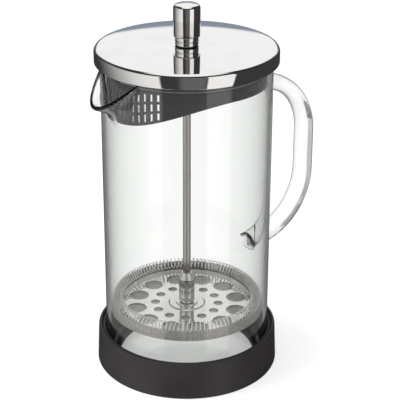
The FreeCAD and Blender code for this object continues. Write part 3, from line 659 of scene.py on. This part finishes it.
bush_plastic, *_ = grained("bush_plastic", (0.016, 0.015, 0.016), (0.026, 0.025, 0.026), 0.42, 1500, 0.12)
bush_flange, bush_end, bush_top = reach("rod_guide_bush")
bush = turned(
    "guide_bush",
    [(2.46, bush_end + 0.3), (2.76, bush_end), (3.7, bush_end), (4.0, bush_end + 0.3), (4.0, bush_top - 0.8)]
    + [(bush_flange, bush_top - 0.8)]
    + arc(bush_flange - 0.4, bush_top - 0.4, 0.4, 0, 90, 3)
    + [(2.76, bush_top), (2.46, bush_top - 0.3), (2.46, bush_end + 0.3)],
    steps=72,
)
wear(bush, bush_plastic, "guide", "bush_plastic", "rod_guide_bush")
satin_steel = polished("satin_steel", (0.62, 0.61, 0.60), (0.55, 0.54, 0.53), 0.27, 0.08, 1800, 0.10)
for node in ("guide_washer", "guide_nut"):
    finished(node, satin_steel)

# ---------------------------------------------------------------- rod and knob
# A drawn stainless rod. At its top a mirror-polished steel cap with a rounded crown sits over a grooved
# collar and a thin black buffer that meets the lid softly.

drawn = (1, 1, 0.04)  # marks run along the rod
rod_steel = polished("rod_steel", (0.55, 0.505, 0.48), (0.47, 0.43, 0.41), 0.16, 0.06, 2600, 0.06, drawn)
rod_radius, rod_under, rod_top = reach("plunger_rod")
rod = turned(
    "rod",
    [(0, rod_under), (rod_radius - 0.3, rod_under), (rod_radius, rod_under + 0.3)]
    + [(rod_radius, rod_top - 0.3), (rod_radius - 0.3, rod_top), (0, rod_top)],
    steps=64,
)
wear(rod, rod_steel, "plunger", "polished_steel", "plunger_rod")

knob_radius, knob_under, knob_top = reach("knob_shell")
knob_wall = 0.8
knob_round = 2.2
knob = turned(
    "knob_cap",
    [(0, knob_top), (3.0, knob_top - 0.01)]
    + arc(knob_radius - knob_round, knob_top - knob_round - 0.02, knob_round, 88, 0, 12)
    + arc(knob_radius - 0.35, knob_under + 0.35, 0.35, 0, -90, 3)
    + [(knob_radius - knob_wall, knob_under), (knob_radius - knob_wall, knob_top - knob_round)]
    + arc(knob_radius - knob_round, knob_top - knob_round, knob_round - knob_wall, 0, 90, 4)
    + [(0, knob_top - knob_wall)],
    steps=128,
)
wear(knob, mirror_steel, "plunger", "polished_steel", "knob_shell")
finished("knob_core", satin_steel)

collar_steel_radius, collar_under, collar_top = reach("knob_collar")
middle = (collar_under + collar_top) / 2
bore = rod_radius + 0.02
collar = turned(
    "knob_neck",
    [(bore, collar_under)]
    + arc(collar_steel_radius - 0.3, collar_under + 0.3, 0.3, -90, 0, 3)
    + arc(collar_steel_radius + 0.12, middle, 0.55, 255, 105, 6)
    + arc(collar_steel_radius - 0.25, collar_top - 0.25, 0.25, 0, 90, 3)
    + [(bore, collar_top), (bore, collar_under)],
    steps=96,
)
wear(collar, mirror_steel, "plunger", "polished_steel", "knob_collar")
finished("knob_buffer", rubber)

# ---------------------------------------------------------------- perforated plate
# A pressed disc of bright steel that spreads the load: a raised boss in the middle, a turned-up lip, and two
# rings of punched holes, twelve large and twelve small, for the coffee to drain through.

plate_radius, plate_under, plate_top = reach("spreader_plate")
plate_sheet = 0.9
flat_radius = plate_radius - 2.4
boss_radius, boss_rise = 10.4, 0.9
flat_top = plate_under + plate_sheet
plate = turned(
    "drain_plate",
    [(bore, plate_under + boss_rise), (boss_radius, plate_under + boss_rise)]
    + [(boss_radius + 0.9, plate_under), (flat_radius, plate_under)]
    + [(plate_radius - 0.25, plate_top - plate_sheet), (plate_radius, plate_top - 0.7)]
    + arc(plate_radius - 0.3, plate_top - 0.3, 0.3, 0, 120, 4)
    + [(flat_radius + 0.35, flat_top + 0.2), (flat_radius - 0.4, flat_top)]
    + [(boss_radius + 1.5, flat_top), (boss_radius + 1.0, flat_top + 0.1)]
    + [(boss_radius + 0.2, flat_top + boss_rise - 0.1), (boss_radius - 0.4, flat_top + boss_rise)]
    + [(bore, flat_top + boss_rise), (bore, plate_under + boss_rise)],
    steps=180,
)
put_down()
punches = []
for ring_radius, punch_radius, first in ((31.5, 6.0, 7.0), (19.5, 2.85, -8.0)):
    for index in range(12):
        bearing = math.radians(first + 30 * index)
        across, aside = ring_radius * math.cos(bearing), ring_radius * math.sin(bearing)
        bpy.ops.mesh.primitive_cylinder_add(
            vertices=48,
            radius=punch_radius * MM,
            depth=6 * MM,
            location=(across * MM, aside * MM, flat_top * MM),
        )
        punches.append(bpy.context.object)
put_down()
for punch in punches:
    punch.select_set(True)
bpy.context.view_layer.objects.active = punches[0]
bpy.ops.object.join()
bpy.ops.object.transform_apply(location=True, rotation=True, scale=True)
applied(plate, "BOOLEAN", operation="DIFFERENCE", object=punches[0], solver="EXACT")
bpy.data.objects.remove(punches[0])
applied(plate, "BEVEL", width=0.12 * MM, segments=2, limit_method="ANGLE", angle_limit=math.radians(60))
smooth(plate, 15)
wear(plate, mirror_steel, "plunger", "polished_steel", "spreader_plate")

# ---------------------------------------------------------------- edge spring
# A coil of bright wire bent into a ring. It lies round the plate and presses the gauze outwards against the
# glass.

spring_outer, spring_under, spring_top = reach("edge_spring")
coil_radius = (spring_top - spring_under) / 2
ring_radius = spring_outer - coil_radius
wire = 0.32
turns = 112
pitch = math.tau * ring_radius / turns
put_down()
bpy.ops.mesh.primitive_circle_add(
    vertices=6, radius=wire * MM, location=((coil_radius - wire) * MM, 0, 0), rotation=(math.pi / 2, 0, 0)
)
coil = bpy.context.object
coil.name = "edge_coil"
bpy.ops.object.transform_apply(location=True, rotation=True, scale=True)
applied(
    coil,
    "SCREW",
    axis="Z",
    angle=math.tau,
    screw_offset=pitch * MM,
    iterations=turns,
    steps=14,
    render_steps=14,
    use_merge_vertices=False,
    use_smooth_shade=True,
)
for vertex in coil.data.vertices:
    around = vertex.co.z / (ring_radius * MM)
    from_axis = ring_radius * MM + vertex.co.x
    level = spring_under * MM + coil_radius * MM + vertex.co.y
    vertex.co = (from_axis * math.cos(around), from_axis * math.sin(around), level)
put_down()
coil.select_set(True)
bpy.context.view_layer.objects.active = coil
bpy.ops.object.mode_set(mode="EDIT")
bpy.ops.mesh.select_all(action="SELECT")
bpy.ops.mesh.remove_doubles(threshold=2e-5)
bpy.ops.mesh.normals_make_consistent(inside=False)
bpy.ops.object.mode_set(mode="OBJECT")
smooth(coil, 80)
spring_steel = polished("spring_steel", (0.86, 0.855, 0.85), (0.78, 0.77, 0.76), 0.14, 0.06, 2200, 0.05)
spring_steel.node_tree.nodes["Principled BSDF"].inputs["Metallic"].default_value = 0.4
wear(coil, spring_steel, "plunger", "coil_steel", "edge_spring")

# ---------------------------------------------------------------- gauze
# A disc of finely woven steel wire whose margin is turned up inside the glass and crimped over, so that its
# edge is slightly ragged. It does the filtering.

gauze_radius, gauze_under, gauze_top = reach("filter_mesh")
gauze_sheet = 0.4
weave, given, out = new_group(
    "wire_weave",
    [
        ("NodeSocketVector", "Place", None),
        ("NodeSocketFloat", "Wires per metre", 2000.0),
        ("NodeSocketColor", "Wire", (0.6, 0.6, 0.6, 1)),
        ("NodeSocketColor", "Gap", (0.2, 0.2, 0.2, 1)),
    ],
    [("NodeSocketColor", "Colour"), ("NodeSocketFloat", "Roughness"), ("NodeSocketVector", "Normal")],
)
split = node_at(weave, "ShaderNodeSeparateXYZ")
link = weave.links.new
link(given.outputs["Place"], split.inputs["Vector"])
ridges = []
for axis in "XYZ":
    turns_of = node_at(weave, "ShaderNodeMath", operation="MULTIPLY")
    link(split.outputs[axis], turns_of.inputs[0])
    link(given.outputs["Wires per metre"], turns_of.inputs[1])
    wave = node_at(weave, "ShaderNodeMath", operation="SINE")
    link(turns_of.outputs[0], wave.inputs[0])
    ridges.append(wave)
product = node_at(weave, "ShaderNodeMath", operation="MULTIPLY")
link(ridges[0].outputs[0], product.inputs[0])
link(ridges[1].outputs[0], product.inputs[1])
together = node_at(weave, "ShaderNodeMath", operation="ADD")
link(product.outputs[0], together.inputs[0])
link(ridges[2].outputs[0], together.inputs[1])
speckle = node_at(weave, "ShaderNodeTexNoise", {"Scale": 900, "Detail": 2})
link(given.outputs["Place"], speckle.inputs["Vector"])
spread = node_at(weave, "ShaderNodeMath", {1: 0.25, 2: 0.3}, operation="MULTIPLY_ADD")
link(together.outputs[0], spread.inputs[0])
mask = node_at(weave, "ShaderNodeMath", operation="ADD", use_clamp=True)
link(spread.outputs[0], mask.inputs[0])
flecks = node_at(weave, "ShaderNodeMapRange", {"From Min": 0.35, "From Max": 0.75, "To Max": 0.5})
link(speckle.outputs["Fac"], flecks.inputs["Value"])
link(flecks.outputs["Result"], mask.inputs[1])
tint = node_at(weave, "ShaderNodeMix", data_type="RGBA")
link(mask.outputs[0], tint.inputs["Factor"])
link(given.outputs["Gap"], tint.inputs["A"])
link(given.outputs["Wire"], tint.inputs["B"])
bump = node_at(weave, "ShaderNodeBump", {"Strength": 0.6, "Distance": 0.00015})
link(mask.outputs[0], bump.inputs["Height"])
rough = node_at(weave, "ShaderNodeMath", {1: -0.15, 2: 0.5}, operation="MULTIPLY_ADD")
link(mask.outputs[0], rough.inputs[0])
link(tint.outputs["Result"], out.inputs["Colour"])
link(rough.outputs[0], out.inputs["Roughness"])
link(bump.outputs["Normal"], out.inputs["Normal"])

gauze_wire, tree, shader, place = new_finish("gauze_wire", (0.5, 0.5, 0.5), 0.4, 0.55)
cloth = placed(
    tree, weave, place, Wires_per_metre=7000.0, Wire=(0.60, 0.57, 0.55, 1), Gap=(0.22, 0.205, 0.195, 1)
)
tree.links.new(cloth.outputs["Colour"], shader.inputs["Base Color"])
tree.links.new(cloth.outputs["Roughness"], shader.inputs["Roughness"])
tree.links.new(cloth.outputs["Normal"], shader.inputs["Normal"])

gauze = turned(
    "gauze",
    [(bore, gauze_under), (12, gauze_under), (24, gauze_under), (36, gauze_under)]
    + arc(gauze_radius - 0.9, gauze_under + 0.8, 0.8, -90, 0, 4)
    + [(gauze_radius - 0.1, (gauze_under + gauze_top) / 2)]
    + arc(gauze_radius - 0.35, gauze_top - 0.25, 0.25, 0, 180, 4)
    + [(gauze_radius - 0.6, gauze_under + 1.4)]
    + arc(gauze_radius - 1.2, gauze_under + 1.0, 0.6, 0, -90, 3)
    + [(radius, gauze_under + gauze_sheet) for radius in (36, 24, 12, bore)]
    + [(bore, gauze_under)],
    steps=240,
)
# The crimped margin: small puckers and dents round the turned-up edge.
for vertex in gauze.data.vertices:
    from_axis = math.hypot(vertex.co.x, vertex.co.y)
    if from_axis < (gauze_radius - 2) * MM:
        continue
    bearing = math.atan2(vertex.co.y, vertex.co.x)
    up = (vertex.co.z / MM - gauze_under) / (gauze_top - gauze_under)
    pucker = 0.5 + 0.25 * math.sin(61 * bearing) + 0.15 * math.sin(97 * bearing + 1.3)
    pucker += 0.1 * math.sin(23 * bearing)
    shrink = 1 - 0.006 * up * pucker
    vertex.co.x *= shrink
    vertex.co.y *= shrink
    vertex.co.z -= 0.00045 * up * up * pucker
wear(gauze, gauze_wire, "plunger", "gauze", "filter_mesh")

# ---------------------------------------------------------------- cross plate, hub and cap nut
# Under the gauze a flat spoked disc holds it up; above it the flanged boss and a long sleeve with a coned
# top are screwed down the rod, and a washer and a domed cap nut close the stack from below.

cross_radius, cross_under, cross_top = reach("cross_plate")
cross = turned(
    "cross_disc",
    [(bore, cross_under), (cross_radius - 0.15, cross_under), (cross_radius, cross_under + 0.15)]
    + [(cross_radius, cross_top - 0.15), (cross_radius - 0.15, cross_top)]
    + [(bore, cross_top), (bore, cross_under)],
    steps=180,
)
inner, outer, arm, windows = 13.0, 34.0, 7.0, 8
put_down()
cutters = []
for index in range(windows):
    half = math.pi / windows
    bpy.ops.mesh.primitive_cube_add(size=1, location=((inner + outer) / 2 * MM, 0, cross_under * MM))
    cutter = bpy.context.object
    cutter.scale = ((outer - inner) * MM, 1, 4 * MM)
    bpy.ops.object.transform_apply(location=True, rotation=True, scale=True)
    for vertex in cutter.data.vertices:
        width = vertex.co.x * math.tan(half) - arm / 2 * MM
        vertex.co.y = math.copysign(width, vertex.co.y)
        bearing = 2 * half * index
        x, y = vertex.co.x, vertex.co.y
        vertex.co.x = x * math.cos(bearing) - y * math.sin(bearing)
        vertex.co.y = x * math.sin(bearing) + y * math.cos(bearing)
    cutters.append(cutter)
put_down()
for cutter in cutters:
    cutter.select_set(True)
bpy.context.view_layer.objects.active = cutters[0]
bpy.ops.object.join()
applied(
    cutters[0],
    "BEVEL",
    width=2.0 * MM,
    segments=4,
    affect="EDGES",
    limit_method="ANGLE",
    angle_limit=math.radians(30),
)
applied(cross, "BOOLEAN", operation="DIFFERENCE", object=cutters[0], solver="EXACT")
bpy.data.objects.remove(cutters[0])
smooth(cross, 30)
wear(cross, satin_steel, "plunger", "plain_steel", "cross_plate")

hub_radius, hub_under, hub_top = reach("hub_boss")
neck = 3.7
hub = turned(
    "hub_flange",
    [(bore, hub_under), (hub_radius, hub_under)]
    + arc(hub_radius - 0.3, hub_under + 0.5, 0.3, 0, 90, 3)
    + [(neck, hub_under + 0.8), (neck, hub_top), (bore, hub_top), (bore, hub_under)],
    steps=96,
)
wear(hub, mirror_steel, "plunger", "polished_steel", "hub_boss")

sleeve_steel = polished(
    "sleeve_steel", (0.74, 0.73, 0.72), (0.66, 0.64, 0.63), 0.07, 0.05, 1600, 0.04, (1, 1, 0.1)
)
sleeve_radius, sleeve_under, sleeve_top = reach("hub_sleeve")
shoulder = sleeve_top - 4.0
sleeve = turned(
    "hub_tube",
    [(bore, sleeve_under)]
    + arc(sleeve_radius - 0.4, sleeve_under + 0.4, 0.4, -90, 0, 3)
    + arc(sleeve_radius - 0.5, shoulder - 0.3, 0.5, 0, 40, 3)
    + [(bore + 0.6, sleeve_top - 0.1), (bore, sleeve_top), (bore, sleeve_under)],
    steps=96,
)
wear(sleeve, sleeve_steel, "plunger", "polished_steel", "hub_sleeve")

nut_radius, nut_under, nut_top = reach("cap_nut")
nut = turned(
    "domed_nut",
    [(0, nut_under)] + arc(nut_radius - 2.0, nut_under + 2.0, 2.0, -90, 0, 6)
    + [(nut_radius, nut_top - 0.2), (nut_radius - 0.2, nut_top), (bore, nut_top)]
    + [(bore, rod_under - 0.02), (0, rod_under - 0.02)],
    steps=72,
)
wear(nut, satin_steel, "plunger", "plain_steel", "cap_nut")
finished("cap_washer", satin_steel)

# ---------------------------------------------------------------- bench, studio light and camera
# A pale, evenly lit bench; a soft white room for the light that falls on the press, with the dark side of
# the studio and two tall soft boxes for what the polished steel mirrors.

put_down()
bpy.ops.mesh.primitive_plane_add(size=12, location=(0, 0, base_under * MM))
bench = bpy.context.object
bench.name = "bench"
bench_top, tree, shader, place = new_finish("bench_top", (0.42, 0.42, 0.42), 0.9)
shader.inputs["Emission Color"].default_value = (1, 1, 1, 1)
shader.inputs["Emission Strength"].default_value = 0.62
# The bench is left out of reflections, which look past it into the studio.
rays = node_at(tree, "ShaderNodeLightPath")
mirrored_once = node_at(tree, "ShaderNodeMath", {1: 0.5}, operation="GREATER_THAN")
unseen = node_at(tree, "ShaderNodeBsdfTransparent")
choose = node_at(tree, "ShaderNodeMixShader")
tree.links.new(rays.outputs["Glossy Depth"], mirrored_once.inputs[0])
tree.links.new(mirrored_once.outputs[0], choose.inputs["Fac"])
tree.links.new(shader.outputs["BSDF"], choose.inputs[1])
tree.links.new(unseen.outputs["BSDF"], choose.inputs[2])
tree.links.new(choose.outputs["Shader"], tree.nodes["Material Output"].inputs["Surface"])
bench.data.materials.append(bench_top)

camera_bearing = math.radians(-125.5)
away, above, pitch_down = 0.732, 0.431, math.radians(24)
lens_data = bpy.data.cameras.new("camera")
lens_data.sensor_width = 36
lens_data.lens = 36 * 1333 / 400
lens_data.shift_x = 0.033
lens_data.clip_start = 0.01
camera = bpy.data.objects.new("camera", lens_data)
bpy.context.scene.collection.objects.link(camera)
camera.location = (away * math.cos(camera_bearing), away * math.sin(camera_bearing), above)
camera.rotation_euler = (math.pi / 2 - pitch_down, 0, camera_bearing + math.pi / 2)
bpy.context.scene.camera = camera

studio = bpy.data.worlds.new("studio")
bpy.context.scene.world = studio
studio.use_nodes = True
tree = studio.node_tree
tree.nodes.clear()
link = tree.links.new
way = node_at(tree, "ShaderNodeTexCoord")
split = node_at(tree, "ShaderNodeSeparateXYZ")
link(way.outputs["Generated"], split.inputs["Vector"])


def worked(operation, first, second=None, third=None):
    """One step of arithmetic on sockets or plain numbers."""
    node = node_at(tree, "ShaderNodeMath", operation=operation)
    for socket, wanted in zip(node.inputs, (first, second, third)):
        if wanted is None:
            continue
        if isinstance(wanted, (int, float)):
            socket.default_value = wanted
        else:
            link(wanted, socket)
    return node.outputs[0]


def ramped(value, low, high, from_amount=0.0, to_amount=1.0):
    """Rises smoothly from one amount to another between two values."""
    node = node_at(tree, "ShaderNodeMapRange", interpolation_type="SMOOTHSTEP")
    link(value, node.inputs["Value"])
    node.inputs["From Min"].default_value = low
    node.inputs["From Max"].default_value = high
    node.inputs["To Min"].default_value = from_amount
    node.inputs["To Max"].default_value = to_amount
    return node.outputs["Result"]


def between(value, low, high, soft_low, soft_high):
    """1 between two values and 0 outside them, with soft ends."""
    return worked(
        "MULTIPLY",
        ramped(value, low - soft_low, low + soft_low),
        worked("SUBTRACT", 1.0, ramped(value, high - soft_high, high + soft_high)),
    )


elevation = worked("MULTIPLY", worked("ARCSINE", split.outputs["Z"]), 180 / math.pi)
turned_by = worked("MULTIPLY", worked("ARCTAN2", split.outputs["Y"], split.outputs["X"]), 180 / math.pi)
# Degrees round from the side the press is looked at from, -180 to 180.
round_from = worked("WRAP", worked("SUBTRACT", turned_by, math.degrees(camera_bearing)), 180, -180)
left_box = worked("MULTIPLY", between(round_from, -118, -33, 22, 2), ramped(round_from, -118, -40, 0.25, 0.9))
right_box = between(round_from, 26, 61, 1.5, 1.5)
# A little light stands between the boxes, so that the dark side of the polished steel is not dead black.
low_grey = worked("ADD", worked("MULTIPLY", between(round_from, -8, 24, 6, 3), 0.09), 0.045)
boxes = worked("ADD", worked("MULTIPLY", left_box, 0.95), worked("MULTIPLY", right_box, 0.95))
low_light = worked("ADD", boxes, low_grey)
# Behind the press white begins a little above the skyline; in front and at the sides the bands reach higher
# and a dark ceiling lies over them, open only overhead.
behind = worked("SUBTRACT", 1.0, between(round_from, -152, 152, 8, 8))
sky = ramped(elevation, 15.05, 15.35)
skyline = between(elevation, 7, 17, 2, 0.5)
ceiling = ramped(elevation, 28, 33)
overhead = ramped(elevation, 60, 68)


def tinted(amount, first, second):
    """A colour between two, by an amount; each is a socket or a plain value."""
    node = node_at(tree, "ShaderNodeMix", data_type="RGBA")
    for label, wanted in (("Factor", amount), ("A", first), ("B", second)):
        if isinstance(wanted, (tuple, int, float)):
            node.inputs[label].default_value = wanted
        else:
            link(wanted, node.inputs[label])
    return node.outputs["Result"]


low_colour = tinted(low_light, (0.0, 0.0, 0.0, 1), (1.0, 0.985, 0.97, 1))
distant = tinted(skyline, low_colour, (0.262, 0.305, 0.38, 1))
back_colour = tinted(sky, distant, (1.0, 1.0, 1.0, 1))
roofed = tinted(ceiling, low_colour, (0.035, 0.033, 0.034, 1))
front_colour = tinted(overhead, roofed, (1.0, 1.0, 1.0, 1))
mirrored = tinted(behind, front_colour, back_colour)
rays = node_at(tree, "ShaderNodeLightPath")
seen_in = worked("GREATER_THAN", rays.outputs["Glossy Depth"], 0.5)
from_left = between(round_from, -150, -5, 40, 60)
soft_room = tinted(from_left, (0.62, 0.62, 0.63, 1), (1.25, 1.25, 1.24, 1))
room = tinted(rays.outputs["Is Diffuse Ray"], (1.0, 1.0, 1.0, 1), soft_room)
# What is mirrored inside the glass has crossed the bright bench on its way, so it is paler.
inside_glass = worked("MULTIPLY", worked("GREATER_THAN", rays.outputs["Transmission Depth"], 0.5), 0.42)
mirrored = tinted(inside_glass, mirrored, (0.85, 0.85, 0.84, 1))
room_colour = tinted(seen_in, room, mirrored)
glow = node_at(tree, "ShaderNodeBackground")
link(room_colour, glow.inputs["Color"])
world_out = node_at(tree, "ShaderNodeOutputWorld")
link(glow.outputs["Background"], world_out.inputs["Surface"])

for name, bearing, distance, height, size, power in (
    ("soft_box_left", -80, 0.9, 0.75, 0.7, 9),
    ("soft_box_right", 60, 0.9, 0.65, 0.5, 3),
):
    light_data = bpy.data.lights.new(name, "AREA")
    light_data.shape = "SQUARE"
    light_data.size = size
    light_data.energy = power
    light = bpy.data.objects.new(name, light_data)
    bpy.context.scene.collection.objects.link(light)
    angle = camera_bearing + math.radians(bearing)
    light.location = (distance * math.cos(angle), distance * math.sin(angle), height)
    towards = Vector((0, 0, 0.1)) - light.location
    light.rotation_euler = towards.to_track_quat("-Z", "Y").to_euler()
    light.visible_glossy = False
    light.visible_transmission = False

bpy.context.scene.view_settings.view_transform = "Standard"

put_down()
